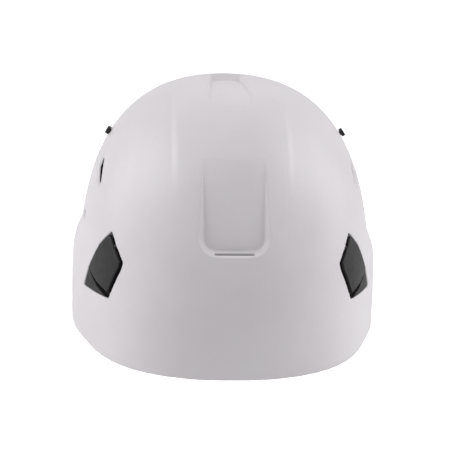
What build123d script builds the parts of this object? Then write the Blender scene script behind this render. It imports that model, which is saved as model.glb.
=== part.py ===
from build123d import *
import math
import os

import numpy as np

# Climbing helmet, in millimetres. The wearer faces -Y and +Z is up.
# The origin lies on the rim plane, on the centre line, midway between the ears.
# Parts are drawn on the wearer's right (x below 0) and mirrored to the left.

# ---- Driving dimensions: outer shell ----
DOME_HEIGHT = 177.0
HALF_WIDTH = 106.4
FRONT_LENGTH = 139.0
REAR_LENGTH = 145.0
SIDE_POWERS = (3.0, 2.46)  # exponents of the height curve across the helmet
LONG_POWERS = (2.2, 2.15)  # exponents of the height curve along the helmet
PLAN_SQUARENESS = 0.25  # how far the plan outline at the rim departs from an ellipse
WALL = 2.4
SIDE_BULGE = 4.6  # how far the accessory housing over each ear stands out
BULGE_TOP = 64.0
BULGE_MIDDLE = 10.0
BULGE_HALF_LENGTH = 55.0
BROW_LIFT = 9.0  # how far the front rim rises above the rest plane
NAPE_LIFT = 4.0

# ---- Driving dimensions: recesses in the shell ----
RECESS_DEPTH = 5.8
LAMP_RECESS_TOP = 144.0
LAMP_RECESS_BOTTOM = 91.0
LAMP_HALF_WIDTH = 20.3
LAMP_CORNER = 7.0
LAMP_SLOT_HALF_WIDTH = 13.2
LAMP_SLOT_DEPTH = 11.0
LAMP_SLOT_GAP = 2.6
LAMP_LIP = 2.2
CROWN_RAMP_START = -45.0
CROWN_RAMP_END = 28.0
CROWN_HALF_WIDTHS = (14.3, 11.0)  # at the start and at the end of the ramp
WALL_SLOPE = 42.0  # draft of the recess side walls, in degrees

# ---- Driving dimensions: vents, clips, accessory slots ----
FRONT_VENT_AT = (73.0, 118.0)  # bearing from the brow in degrees, height
REAR_VENT_AT = (109.0, 118.0)
VENT_OUTLINE = [(-14.5, 12.5), (-2.0, 8.5), (12.5, -4.0), (15.0, -11.5), (2.5, -9.5), (-11.0, -2.0)]
VENT_BEVEL = 3.1
VENT_BEVEL_DEPTH = 2.0
LOW_VENT_HEIGHT = 81.0
LOW_VENT_BEARINGS = (80.0, 90.5, 101.0)
LOW_VENT_OUTLINE = [(-7.0, 5.5), (6.0, 5.5), (6.8, 0.5), (-2.0, -6.0)]
LOW_VENT_BEVEL = 1.2
LOW_VENT_BEVEL_DEPTH = 1.2
CLIP_BEARINGS = (49.0, 131.0)  # front and rear
CLIP_HEIGHT = 66.0
CLIP_OUTLINE = [
    (4.1, 24.8), (23.5, 9.0), (23.2, 4.0), (14.4, -19.7), (-28.0, -24.6), (-21.0, -9.2), (-7.7, 12.2),
]
LEVER_EDGE = [(-40.0, -0.4), (-19.6, -9.2), (-4.0, -13.6), (14.0, -15.6), (40.0, -18.6)]  # its lower edge
CLIP_SPLIT = [(-40.0, -2.6), (-19.6, -10.4), (-4.0, -16.4), (14.0, -20.6), (40.0, -26.7)]
CLIP_CAP = 22.4  # the fixed cap of a clip lies above this local height
LEVER_TOP = 21.4
LEVER_CLEARANCE = 0.6
LEVER_SETBACK = 2.2  # wider gap along the clip's end that faces away from the ear
LEVER_PROUD = 0.6
HINGE_HEIGHT = 16.0
HINGE_DEPTH = 3.4
HINGE_MIDDLE = 5.1
HINGE_PIN_RADIUS = 1.0
SLOT_LENGTH = 31.0  # accessory slot over each ear
SLOT_WIDTH = 3.4
SLOT_DEPTH = 26.0

# ---- Driving dimensions: vent shutters ----
SHUTTER_AXIS = (28.0, 3.0)  # x and y of the vertical axis that the right shutter turns about
SHUTTER_THICKNESS = 1.6
SHUTTER_GAP = 0.9
SHUTTER_BOTTOM = 102.0
SHUTTER_TOP = 132.0
SHUTTER_TRAVEL = 8.0  # degrees
SHUTTER_ENDS = (-34.0, 33.0)  # degrees towards the brow and towards the nape
TAB_TOP = 141.0
TAB_ENDS = (-9.0, 12.0)
KNOB_HEIGHT = 136.0
KNOB_BEARING = 95.5
KNOB_SIZE = (7.0, 5.0, 2.6)
KNOB_STEM_RADIUS = 1.6

# ---- Driving dimensions: suspension, headband, nape cradle ----
CROWN_STRAP_TOPS = (142.0, 140.4, 138.8)
CROWN_STRAP_WIDTH = 18.0
CROWN_FLAT = 17.0
WEBBING = 1.4
KEY_HEIGHT = 46.0
KEY_BEARINGS = (28.0, 90.0, 152.0)
KEY_BOSS_DEPTH = 7.6  # all key depths are measured inward from the shell's inner wall
KEY_SLOT = (4.2, 6.4)
KEY_HEAD = (6.2, 11.5)
CROWN_PAD_RADIUS = 52.0
CROWN_PAD_THICKNESS = 8.0
BAND_HALF_WIDTH = 81.0
BAND_HALF_LENGTH = 100.0
BAND_BOTTOM = 16.0
BAND_TOP = 40.0
BAND_THICKNESS = 1.8
BAND_END_Y = 30.0
BROW_PAD_THICKNESS = 4.0
BROW_PAD_END_Y = -38.0
PIVOT_Y = 22.0
PIVOT_Z = 28.0
PIVOT_RADIUS = 2.0
RUNNING_GAP = 0.06
ARM_OUTER_X = 82.2
ARM_THICKNESS = 1.8
ARM_ENDS = (14.0, 63.0)
ARM_HEIGHTS = (17.0, 38.0)
MODULE = 1.0
PINION_TEETH = 10
PRESSURE_ANGLE = math.radians(25)
PINION_Y = 48.0
PINION_Z = 27.2
RACK_INNER_X = 82.4
RACK_OUTER_X = 84.3
RACK_HEIGHTS = (18.6, 36.0)
RACK_START_Y = 30.0
RACK_WINDOW = (35.0, 69.0)
NAPE_STRAIGHT_END = 78.0
NAPE_DEPTH = 34.0
NAPE_PAD_THICKNESS = 4.0
COVER_OUTER_X = 86.4
WHEEL_RADIUS = 13.0
WHEEL_FLUTES = 16

# ---- Driving dimensions: chin strap, folded flat inside the rim ----
SWING_X = 95.5
SWING_Z = 5.5
STRAP_Y = -17.0
ANCHOR_SPREAD = 21.0
APEX_SPREAD = 7.5
SIDE_STRAP_WIDTH = 13.0
LOOP_BAR_RADIUS = 1.2
LOOP_INNER_RADIUS = 1.26
LOOP_OUTER_RADIUS = 2.6
ADJUSTER_X = (-42.0, -16.0)
ADJUSTER_WIDTH = 30.0
ADJUSTER_Z = (3.6, 9.0)
CAM_HINGE = (-39.0, 3.4)  # x and z of the cam lever's axis
FOLD_X = -19.0
FOLD_Z = 12.0
CHIN_WEBBING_WIDTH = 18.0
BUCKLE_START_X = -45.0
BUCKLE_END_X = -73.0
BUCKLE_WIDTH = 26.0
BUCKLE_Z = (9.5, 14.5)

DOME_CENTRE = np.array([0.0, 3.0, 40.0])
GRID_POINTS = 61
GRID_REACH = math.radians(116)
CLOSING_DEPTH = 12.0  # the dome surface closes on itself below the rim, from here
CLOSING_HEIGHT = 90.0


# ---- The dome as a formula ----
def height_curve(z, powers):
    s = np.clip(z / DOME_HEIGHT, 0, 0.9999999)
    return (1 - s ** powers[0]) ** (1 / powers[1])


def dome_level(x, y, z, bulge):
    """Below 1 inside the dome and above 1 outside it."""
    low = np.clip((-CLOSING_DEPTH - z) / CLOSING_HEIGHT, 0, 0.9999999)
    closing = (1 - low**3) ** (1 / 2.4)
    half_width = HALF_WIDTH * height_curve(z, SIDE_POWERS) * closing
    half_length = np.where(y < 0, FRONT_LENGTH, REAR_LENGTH) * height_curve(z, LONG_POWERS) * closing
    along = np.exp(-(((y - BULGE_MIDDLE) / BULGE_HALF_LENGTH) ** 4))
    half_width = half_width + bulge * along / (1 + np.exp((z - BULGE_TOP) / 3.0))
    power = 2 + PLAN_SQUARENESS * (1 - np.clip(z / DOME_HEIGHT, 0, 1))
    level = (np.abs(x) / half_width) ** power + (np.abs(y) / half_length) ** power
    closed = (z >= DOME_HEIGHT) | (z <= -CLOSING_DEPTH - CLOSING_HEIGHT + 0.1)
    return np.where(closed, 9.0, level)


def dome_grid(bulge, offset):
    """Points on the dome surface, moved outward by offset, on a grid with no pole at the crown."""
    u = np.linspace(-1, 1, GRID_POINTS)
    across, along = np.meshgrid(u, u, indexing="ij")
    polar = np.hypot(across, along) * GRID_REACH
    bearing = np.arctan2(along, across)
    ray = np.stack([np.sin(polar) * np.cos(bearing), np.sin(polar) * np.sin(bearing), np.cos(polar)], -1)
    near = np.zeros(polar.shape)
    far = np.full(polar.shape, 300.0)
    for _ in range(50):
        middle = (near + far) / 2
        p = DOME_CENTRE + ray * middle[..., None]
        inside = dome_level(p[..., 0], p[..., 1], p[..., 2], bulge) < 1
        near = np.where(inside, middle, near)
        far = np.where(inside, far, middle)
    points = DOME_CENTRE + ray * near[..., None]
    normal = np.cross(np.gradient(points, axis=0), np.gradient(points, axis=1))
    normal /= np.linalg.norm(normal, axis=-1, keepdims=True)
    return points + normal * offset


def surface_through(points):
    rows = [[tuple(p) for p in row] for row in points]
    return Face.make_surface_from_array_of_points(rows, tol=0.02, min_deg=3, max_deg=3)


def dome_solid(bulge=0.0, offset=0.0):
    """Everything under the dome surface, down to just below the rim."""
    block = Pos(0, 0, 96) * Box(400, 400, 208)
    pieces = block.split(surface_through(dome_grid(bulge, offset)), keep=Keep.ALL)
    return min(pieces, key=lambda piece: piece.bounding_box().size.X)


def bisect(is_inside, limit):
    """The largest distance, up to limit, that is still inside."""
    near, far = 0.0, limit
    for _ in range(50):
        middle = (near + far) / 2
        near, far = (middle, far) if is_inside(middle) else (near, middle)
    return near


def dome_point(bearing, z, inset=0.0):
    """A point of the dome at a height, at a bearing from the brow towards the wearer's right."""
    a = math.radians(bearing)
    out = np.array([-math.sin(a), -math.cos(a)])
    reach = bisect(lambda r: dome_level(out[0] * r, out[1] * r, z, 0.0) < 1, 260.0)
    return np.array([*(out * (reach - inset)), z])


def brow_y(x, z):
    """The dome's y on the brow side at a given x and z."""
    return -bisect(lambda r: dome_level(x, -r, z, 0.0) < 1, FRONT_LENGTH + 1)


def crown_z(x, y):
    """The dome's z at a given x and y."""
    return bisect(lambda z: dome_level(x, y, z, 0.0) < 1, DOME_HEIGHT)


def surface_plane(bearing, z):
    """A plane tangent to the dome, with x towards the brow along the surface, y up and z outward."""
    along = dome_point(bearing + 0.3, z) - dome_point(bearing - 0.3, z)
    up = dome_point(bearing, z + 0.5) - dome_point(bearing, z - 0.5)
    normal = np.cross(along, up)
    if normal @ dome_point(bearing, 0) < 0:
        normal = -normal
    forward = np.cross([0, 0, 1], normal)
    return Plane(origin=tuple(dome_point(bearing, z)), x_dir=tuple(forward), z_dir=tuple(normal))


# ---- Small helpers ----
def left_of(shape):
    """The wearer's left twin of a part drawn on the right."""
    return mirror(shape, about=Plane.YZ)


def both_sides(solids):
    return Compound(children=[s for solid in solids for s in (solid, left_of(solid))])


def write(shape, name):
    export_step(shape, f"parts/{name}.step")


def write_pair(shape, name):
    write(shape, f"{name}_right")
    write(left_of(shape), f"{name}_left")


def span_box(x, y, z):
    """A box between pairs of x, y and z."""
    size = [high - low for low, high in (x, y, z)]
    return Pos(*[(low + high) / 2 for low, high in (x, y, z)]) * Box(*size)


def rod(start, end, radius):
    """A cylinder between two points."""
    direction = tuple(b - a for a, b in zip(start, end))
    return extrude(Plane(origin=start, z_dir=direction) * Circle(radius), amount=math.dist(start, end))


def soften(solid, axis, radius):
    """A solid with its edges along an axis rounded."""
    return fillet(solid.edges().filter_by(axis), radius)


def outline(points, radius=0.0, grow=0.0):
    """A closed outline, grown outward by grow, with rounded corners."""
    sketch = make_face(Polyline(*points, close=True))
    if grow:
        sketch = offset(sketch, amount=grow, kind=Kind.ARC if grow > 0 else Kind.INTERSECTION)
    if radius:
        sketch = fillet(sketch.vertices(), radius)
    return sketch


def prism(plane, sketch, low, high):
    """A sketch extruded between two heights over a plane."""
    return extrude(plane.offset(low) * sketch, amount=high - low)


def elliptic_band(outer, thickness, heights, centre_y=0.0):
    """An upright elliptical ring given its outer half-axes."""
    ring = Ellipse(*outer) - Ellipse(outer[0] - thickness, outer[1] - thickness)
    return extrude(Pos(0, centre_y, heights[0]) * ring, amount=heights[1] - heights[0])


# ---- Outer shell ----
def rim_cutter():
    """Everything below the rim line, which lifts at the brow and a little at the nape."""
    lift = [(-y, BROW_LIFT * (y / FRONT_LENGTH) ** 2) for y in (180, 150, 120, 90, 60, 30)]
    front = Spline(*lift, (0, 0), tangents=[(1, -0.15), (1, 0)])
    flat = Line(front @ 1, (80, 0))
    rear = Spline(flat @ 1, (REAR_LENGTH, NAPE_LIFT), (180, NAPE_LIFT * 1.8), tangents=[(1, 0), (1, 0.1)])
    below = Polyline(rear @ 1, (180, -60), (-180, -60), front @ 0)
    side = Plane.YZ * make_face(Wire([front, flat, rear, *below.edges()]))
    return extrude(side, amount=160, both=True)


def lamp_ramp(depth_behind):
    """Everything ahead of the lamp recess floor; the floor starts flush at the top."""
    def floor_point(x, z):
        ramp = (LAMP_RECESS_TOP - z) / (LAMP_RECESS_TOP - LAMP_RECESS_BOTTOM)
        return x, brow_y(x, z) + (RECESS_DEPTH * ramp + depth_behind) * 1.08, z

    heights = np.linspace(LAMP_RECESS_BOTTOM - 15, LAMP_RECESS_TOP + 14, 13)
    points = [[floor_point(x, z) for z in heights] for x in np.linspace(-38, 38, 13)]
    return extrude(surface_through(points), amount=60, dir=(0, -1, 0))


def crown_ramp(depth_behind):
    """Everything above the crown recess floor; the floor starts flush at its front end."""
    def floor_point(x, y):
        ramp = (y - CROWN_RAMP_START) / (CROWN_RAMP_END - CROWN_RAMP_START)
        return x, y, crown_z(x, y) - RECESS_DEPTH * ramp - depth_behind

    stations = np.linspace(CROWN_RAMP_START - 17, CROWN_RAMP_END + 14, 13)
    points = [[floor_point(x, y) for y in stations] for x in np.linspace(-26, 26, 11)]
    return extrude(surface_through(points), amount=60, dir=(0, 0, 1))


def bowed_pocket(plane, widths, ends, bow, corner, deep, tall):
    """A pocket cutter with leaning side walls; its sides bow inward at the reference plane."""
    (low_w, high_w), (low, high) = widths, ends
    middle = ((low_w + high_w) / 2 - bow, (low + high) / 2)
    right = ThreePointArc((low_w, low), middle, (high_w, high))
    left = ThreePointArc((-high_w, high), (-middle[0], middle[1]), (-low_w, low))
    top = Line(right @ 1, left @ 0)
    bottom = Line(left @ 1, right @ 0)
    shape = make_face(Wire([right, top, left, bottom]))
    shape = fillet(shape.vertices().sort_by_distance((0, corner[0]))[:2], corner[1])
    return prism(plane, shape, -deep, 0) + extrude(plane * shape, amount=tall, taper=-WALL_SLOPE)


def bow_for(bulge):
    """How far a pocket's sides bow inward so that their feet run straight along a bulging floor."""
    return bulge * math.tan(math.radians(WALL_SLOPE))


def lamp_recess(grow, depth_behind):
    """The U-shaped recess on the brow, with side walls that lean outward."""
    foot = (brow_y(LAMP_HALF_WIDTH, LAMP_RECESS_BOTTOM) + RECESS_DEPTH, LAMP_RECESS_BOTTOM)
    head = (brow_y(LAMP_HALF_WIDTH, LAMP_RECESS_TOP), LAMP_RECESS_TOP)
    rise = math.dist(foot, head)
    upright = (head[1] - foot[1]) / rise
    middle = brow_y(LAMP_HALF_WIDTH, (foot[1] + head[1]) / 2) + RECESS_DEPTH / 2
    bulge = ((foot[0] + head[0]) / 2 - middle) * upright
    plane = Plane(origin=(0, *foot), x_dir=(1, 0, 0), z_dir=(0, -upright, (head[0] - foot[0]) / rise))
    width = LAMP_HALF_WIDTH + grow
    ends = (-grow, rise + grow)
    pocket = bowed_pocket(plane, (width, width), ends, bow_for(bulge), (-50, LAMP_CORNER + grow), 10, 14)
    return pocket & lamp_ramp(depth_behind)


def crown_recess(grow, depth_behind):
    """The tapering channel on the crown, closed by a wall at its rear end."""
    front_w, rear_w = [width + grow for width in CROWN_HALF_WIDTHS]
    base = crown_z(rear_w, CROWN_RAMP_END) - RECESS_DEPTH
    middle = (CROWN_RAMP_START + CROWN_RAMP_END) / 2
    bulge = crown_z((front_w + rear_w) / 2, middle) - RECESS_DEPTH / 2 - base
    plane = Plane.XY.offset(base)
    ends = (CROWN_RAMP_START - grow, CROWN_RAMP_END + grow)
    pocket = bowed_pocket(plane, (front_w, rear_w), ends, bow_for(bulge), (80, 2.0 + grow), 12, 14)
    return pocket & crown_ramp(depth_behind)


def lamp_slot():
    """The pocket behind the brow lip that a lamp's plate drops into."""
    front = brow_y(0, LAMP_RECESS_BOTTOM) + LAMP_LIP
    x = (-LAMP_SLOT_HALF_WIDTH, LAMP_SLOT_HALF_WIDTH)
    heights = (LAMP_RECESS_BOTTOM - LAMP_SLOT_DEPTH, LAMP_RECESS_BOTTOM + 3)
    return span_box(x, (front, front + LAMP_SLOT_GAP), heights)


def lamp_slot_backing():
    """Material kept around and behind the lamp slot."""
    front = brow_y(0, LAMP_RECESS_BOTTOM)
    half = LAMP_SLOT_HALF_WIDTH + 2.4
    heights = (LAMP_RECESS_BOTTOM - LAMP_SLOT_DEPTH - 2.4, LAMP_RECESS_BOTTOM + 4)
    return span_box((-half, half), (front - 9, front + 7.2), heights)


def vent_cutter(plane, points, bevel, depth):
    """An opening with a bevelled border."""
    opening = outline(points, grow=-bevel)
    through = prism(plane, opening, -14, 8)
    slope = math.degrees(math.atan2(bevel, depth))
    return through + extrude(plane.offset(-depth) * opening, amount=depth + 2, taper=-slope)


def flipped(points):
    return [(-x, y) for x, y in points]


def vent_cutters():
    bevel = (VENT_BEVEL, VENT_BEVEL_DEPTH)
    upper = [
        vent_cutter(surface_plane(*FRONT_VENT_AT), VENT_OUTLINE, *bevel),
        vent_cutter(surface_plane(*REAR_VENT_AT), flipped(VENT_OUTLINE), *bevel),
    ]
    bevel = (LOW_VENT_BEVEL, LOW_VENT_BEVEL_DEPTH)
    planes = [surface_plane(bearing, LOW_VENT_HEIGHT) for bearing in LOW_VENT_BEARINGS]
    return upper + [vent_cutter(plane, LOW_VENT_OUTLINE, *bevel) for plane in planes]


def knob_travel():
    return math.radians(SHUTTER_TRAVEL) * (SHUTTER_AXIS[0] - dome_point(KNOB_BEARING, KNOB_HEIGHT)[0])


def knob_slot():
    """The slot in the shell that the shutter knob travels along, towards the nape."""
    plane = surface_plane(KNOB_BEARING, KNOB_HEIGHT)
    length = knob_travel() + 2 * KNOB_STEM_RADIUS + 1.2
    return prism(plane, Pos(-knob_travel() / 2, 0) * SlotOverall(length, 4.4), -8, 6)


def clip_shape(turn, grow=0.0):
    """A clip's outline; turn is 1 at the front and -1 at the rear."""
    points = CLIP_OUTLINE if turn > 0 else flipped(CLIP_OUTLINE)
    return outline(points, grow=grow)


def clip_plane(turn):
    return surface_plane(CLIP_BEARINGS[0 if turn > 0 else 1], CLIP_HEIGHT)


def accessory_slot():
    """The pocket over the ear, open at the rim."""
    outer = HALF_WIDTH + SIDE_BULGE - 2.1
    y = (BULGE_MIDDLE - SLOT_LENGTH / 2, BULGE_MIDDLE + SLOT_LENGTH / 2)
    return span_box((-outer, SLOT_WIDTH - outer), y, (-10, SLOT_DEPTH))


def key_plane(bearing):
    """A vertical plane on the inner wall at the height of a suspension key, with z pointing inward."""
    a = math.radians(bearing)
    origin = tuple(dome_point(bearing, KEY_HEIGHT, inset=WALL))
    return Plane(origin=origin, x_dir=(-math.cos(a), math.sin(a), 0), z_dir=(math.sin(a), math.cos(a), 0))


def key_boss(bearing):
    return prism(key_plane(bearing), RectangleRounded(27, 13, 2), -5.0, KEY_BOSS_DEPTH)


def key_slot(bearing):
    return prism(key_plane(bearing), Pos(0, 3) * Rectangle(20.4, 14), *KEY_SLOT)


def strap_anchor_boss(side):
    y = STRAP_Y + side * ANCHOR_SPREAD
    return span_box((-107.5, -98.9), (y - 10, y + 10), (1.5, 12))


def build_shell():
    outer = dome_solid(bulge=SIDE_BULGE).cut(lamp_recess(0, 0), crown_recess(0, 0))
    kept = [lamp_recess(2.2, WALL), crown_recess(2.2, WALL), lamp_slot_backing()]
    right = [key_boss(bearing) for bearing in KEY_BEARINGS] + [strap_anchor_boss(s) for s in (-1, 1)]
    kept += right + [left_of(boss) for boss in right]
    cavity = dome_solid(offset=-WALL).cut(*kept)
    windows = [prism(clip_plane(turn), clip_shape(turn), -16, 14) for turn in (1, -1)]
    right = vent_cutters() + [knob_slot(), accessory_slot()] + windows
    right += [key_slot(bearing) for bearing in KEY_BEARINGS]
    cuts = right + [left_of(cutter) for cutter in right]
    return outer.cut(cavity).cut(rim_cutter(), lamp_slot(), *cuts)


# ---- Headlamp clips ----
def clip_region(turn, low, high):
    """The part of a clip's face between two bounding lines, each a list of points from left to right."""
    corners = low + high[::-1]
    return make_face(Polyline(*(corners if turn > 0 else flipped(corners)), close=True))


def level_line(height):
    return [(-40.0, height), (40.0, height)]


def split_line(shift):
    return [(x, y + shift) for x, y in CLIP_SPLIT]


def clip_rod(turn, start, end, radius):
    """A cylinder along the clip's hinge axis between two local positions."""
    plane = clip_plane(turn)
    ends = [
        plane.from_local_coords(Vector(turn * (HINGE_MIDDLE + along), HINGE_HEIGHT, -HINGE_DEPTH))
        for along in (start, end)
    ]
    return rod(tuple(ends[0]), tuple(ends[1]), radius)


def clip_lug(turn, start, end):
    """A lug on the clip base that holds the hinge pin."""
    plane = clip_plane(turn)
    middle = turn * (HINGE_MIDDLE + (start + end) / 2)
    footprint = Pos(middle, HINGE_HEIGHT) * Rectangle(end - start, 3.6)
    foot = prism(plane, footprint, -HINGE_DEPTH - 2.4, -HINGE_DEPTH)
    return clip_rod(turn, start, end, 1.8) + foot


def clip_base(turn, domes):
    """The socket plate behind the lever, with a fixed cap, a fixed lower lip and a hidden flange."""
    plane = clip_plane(turn)
    fitted = clip_shape(turn, grow=-0.3)
    floor = prism(plane, fitted, -7.8, 4) & domes["floor"]
    cap_region = clip_region(turn, level_line(CLIP_CAP), level_line(40))
    cap = prism(plane, fitted & cap_region, -7.8, 4) & domes["flush"]
    lip_region = clip_region(turn, level_line(-40), split_line(-0.2))
    lip = prism(plane, fitted & lip_region, -7.8, 4) & domes["flush"]
    flange = prism(plane, clip_shape(turn, grow=2.2), -7.8, 0) & domes["flange"]
    base = floor + cap + lip + (flange - prism(plane, fitted, -9, 4))
    base -= clip_rod(turn, -4.3, 4.3, 2.5)
    base += clip_lug(turn, -7.0, -4.5) + clip_lug(turn, 4.5, 7.0)
    return base - clip_rod(turn, -7.1, 7.1, HINGE_PIN_RADIUS + 0.02)


def clip_lever(turn, domes):
    """The hinged plate that holds a lamp's band; its lower edge swings outward."""
    plane = clip_plane(turn)
    face = clip_shape(turn, grow=-LEVER_CLEARANCE)
    face = face & (Pos(-turn * LEVER_SETBACK, 0) * face)
    face = face & clip_region(turn, LEVER_EDGE, level_line(LEVER_TOP))
    plate = (prism(plane, face, -9, 6) & domes["proud"]) - domes["under"]
    plate -= clip_rod(turn, -7.6, -4.1, 2.3)
    plate -= clip_rod(turn, 4.1, 7.6, 2.3)
    plate += clip_rod(turn, -4.0, 4.0, 1.9)
    return plate - clip_rod(turn, -5, 5, HINGE_PIN_RADIUS + RUNNING_GAP)


def build_clips():
    domes = {
        "proud": dome_solid(offset=LEVER_PROUD),
        "flush": dome_solid(offset=-0.1),
        "under": dome_solid(offset=-2.0),
        "flange": dome_solid(offset=-WALL - 0.05),
        "floor": dome_solid(offset=-3.8),
    }
    for turn, where in ((1, "front"), (-1, "rear")):
        write_pair(clip_base(turn, domes), f"clip_base_{where}")
        write_pair(clip_lever(turn, domes), f"clip_lever_{where}")
    pins = [clip_rod(turn, -6.9, 6.9, HINGE_PIN_RADIUS) for turn in (1, -1)]
    write(both_sides(pins), "clip_hinge_pins")
    return domes["flange"]


# ---- Vent shutters ----
def shutter_band(heights, ends, spare=0.0):
    """A band that follows the inside of the shell and turns about the shutter's axis."""
    def inset_point(z, depth):
        width = HALF_WIDTH * height_curve(z, SIDE_POWERS)
        slope = HALF_WIDTH * (height_curve(z + 0.5, SIDE_POWERS) - height_curve(z - 0.5, SIDE_POWERS))
        length = math.hypot(1, slope)
        return SHUTTER_AXIS[0] + width - depth / length, z + depth * slope / length

    depth = WALL + SHUTTER_GAP - spare
    levels = np.linspace(heights[0] - spare, heights[1] + spare, 8)
    outer = [inset_point(z, depth) for z in levels]
    inner = [inset_point(z, depth + SHUTTER_THICKNESS + 2 * spare) for z in levels]
    edges = [Spline(*outer), Line(outer[-1], inner[-1]), Spline(*inner[::-1]), Line(inner[0], outer[0])]
    plane = Plane(origin=(*SHUTTER_AXIS, 0), x_dir=(-1, 0, 0), z_dir=(0, 1, 0))
    axis = Axis((*SHUTTER_AXIS, 0), (0, 0, 1))
    section = (plane * make_face(Wire(edges))).rotate(axis, -ends[1])
    return revolve(section, axis=axis, revolution_arc=ends[1] - ends[0])


def build_shutter():
    shutter = shutter_band((SHUTTER_BOTTOM, SHUTTER_TOP), SHUTTER_ENDS)
    shutter += shutter_band((SHUTTER_TOP - 4, TAB_TOP), TAB_ENDS)
    for at, points in ((FRONT_VENT_AT, VENT_OUTLINE), (REAR_VENT_AT, flipped(VENT_OUTLINE))):
        shutter -= prism(surface_plane(*at), outline(points, grow=0.6 - VENT_BEVEL), -16, 8)
    return shutter


def build_knob():
    plane = surface_plane(KNOB_BEARING, KNOB_HEIGHT)
    stem = prism(plane, Circle(KNOB_STEM_RADIUS), -WALL - SHUTTER_GAP + 0.12, 1.0)
    head = prism(plane, RectangleRounded(*KNOB_SIZE[:2], 1.6), 0.45, 0.45 + KNOB_SIZE[2])
    return stem + head


def build_guides(inside):
    """Four brackets per side that hold the shutter's edges against the shell."""
    swept = shutter_band((SHUTTER_BOTTOM, SHUTTER_TOP), (-48, 48), spare=0.35)
    tab_ends = (TAB_ENDS[0] - 1, TAB_ENDS[1] + SHUTTER_TRAVEL + 1)
    swept += shutter_band((SHUTTER_TOP - 4, TAB_TOP), tab_ends, spare=0.35)
    brackets = []
    for z, rise in ((SHUTTER_BOTTOM, -1), (SHUTTER_TOP, 1)):
        for turn in (-22.0, 22.0):
            half_width = HALF_WIDTH * height_curve(z, SIDE_POWERS)
            x = -half_width
            block = span_box((x - 6, x + 8.6 - 2 * rise), (-1, 7), sorted((z - 3.5 * rise, z + 2.6 * rise)))
            block = block.rotate(Axis((*SHUTTER_AXIS, 0), (0, 0, 1)), turn)
            bracket = (block & inside) - swept
            brackets.append(max(bracket.solids(), key=lambda s: s.volume))
    return Compound(children=brackets)


# ---- Suspension ----
def key_radius(bearing):
    """How far from the helmet's axis a crown strap meets its key."""
    return math.hypot(*dome_point(bearing, KEY_HEIGHT, inset=WALL + KEY_HEAD[1] + 0.1)[:2])


def arch(radius, top, lift=0.0):
    """One half of a crown arch, from the flat top down to the key."""
    low = KEY_HEIGHT + 8.5
    reach = radius - lift - CROWN_FLAT
    turns = [math.radians(t) for t in (0, 12, 24, 36, 48, 60, 72, 84, 90)]
    return [(CROWN_FLAT + reach * math.sin(t), low + (top - lift - low) * math.cos(t)) for t in turns]


def radial_plane(bearing):
    """The upright plane through the helmet's axis, with x pointing out at a bearing."""
    a = math.radians(bearing)
    outward = (-math.sin(a), -math.cos(a), 0)
    return Plane(origin=(0, 0, 0), x_dir=outward, z_dir=(-math.cos(a), math.sin(a), 0))


def crown_strap(bearing, top):
    """A webbing arch from one key over the crown to the opposite key."""
    edges = []
    for lift in (0.0, WEBBING):
        near = arch(key_radius(bearing), top, lift)
        far = [(-r, z) for r, z in arch(key_radius(180 - bearing), top, lift)]
        falling = Spline(*near, tangents=[(1, 0), (0, -1)])
        rising = Spline(*far[::-1], tangents=[(0, 1), (1, 0)])
        edges.append([rising, Line(far[0], near[0]), falling])
    caps = [Line(edges[0][0] @ 0, edges[1][0] @ 0), Line(edges[0][2] @ 1, edges[1][2] @ 1)]
    section = make_face(Wire([*edges[0], *edges[1], *caps]))
    return extrude(radial_plane(bearing) * section, amount=CROWN_STRAP_WIDTH / 2, both=True)


def suspension_key(bearing):
    """A plug with a head; the end of a crown strap lies on the head's inner face."""
    plane = key_plane(bearing)
    blade = prism(plane, Pos(0, 2.4) * Rectangle(19.8, 11.2), KEY_SLOT[0] + 0.1, KEY_SLOT[1] - 0.1)
    head = prism(plane, Pos(0, 11.2) * RectangleRounded(23, 7.8, 2), *KEY_HEAD)
    return blade + head


def crown_pad():
    """A round pad that follows the underside of the crown straps."""
    top = CROWN_STRAP_TOPS[-1] - WEBBING - 0.5
    bound = key_radius(90) - WEBBING - 1.5
    crest = [(0.0, top)] + [p for p in arch(bound, top) if p[0] < CROWN_PAD_RADIUS]
    under = [(r * 0.99, z - CROWN_PAD_THICKNESS) for r, z in crest]
    rim = Spline(crest[-1], (crest[-1][0] + 4.5, crest[-1][1] - 6.5), under[-1])
    edges = [Spline(*crest, tangents=[(1, 0), (1, -0.4)]), rim]
    edges += [Spline(*under, tangents=[(1, 0), (1, -0.4)]), Line(under[0], crest[0])]
    section = Plane.XZ * make_face(Wire(edges))
    return revolve(section, axis=Axis.Z)


# ---- Headband ----
def build_headband():
    ring = elliptic_band((BAND_HALF_WIDTH, BAND_HALF_LENGTH), BAND_THICKNESS, (BAND_BOTTOM, BAND_TOP))
    ring &= span_box((-120, 120), (-120, BAND_END_Y), (0, 60))
    boss = span_box((-80.2, -76.4), (15, 29), (21, 35))
    hole = rod((-84, PIVOT_Y, PIVOT_Z), (-70, PIVOT_Y, PIVOT_Z), PIVOT_RADIUS + 0.02)
    for shape in (boss, left_of(boss)):
        ring += shape
    for shape in (hole, left_of(hole)):
        ring -= shape
    return ring


def temple_pin():
    """A flush-headed pin that joins the nape arm to the headband."""
    shaft = rod((-81.3, PIVOT_Y, PIVOT_Z), (-76.3, PIVOT_Y, PIVOT_Z), PIVOT_RADIUS)
    head = rod((-82.15, PIVOT_Y, PIVOT_Z), (-81.25, PIVOT_Y, PIVOT_Z), 4.0)
    flange = rod((-76.35, PIVOT_Y, PIVOT_Z), (-75.2, PIVOT_Y, PIVOT_Z), 3.6)
    return shaft + head + flange


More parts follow.
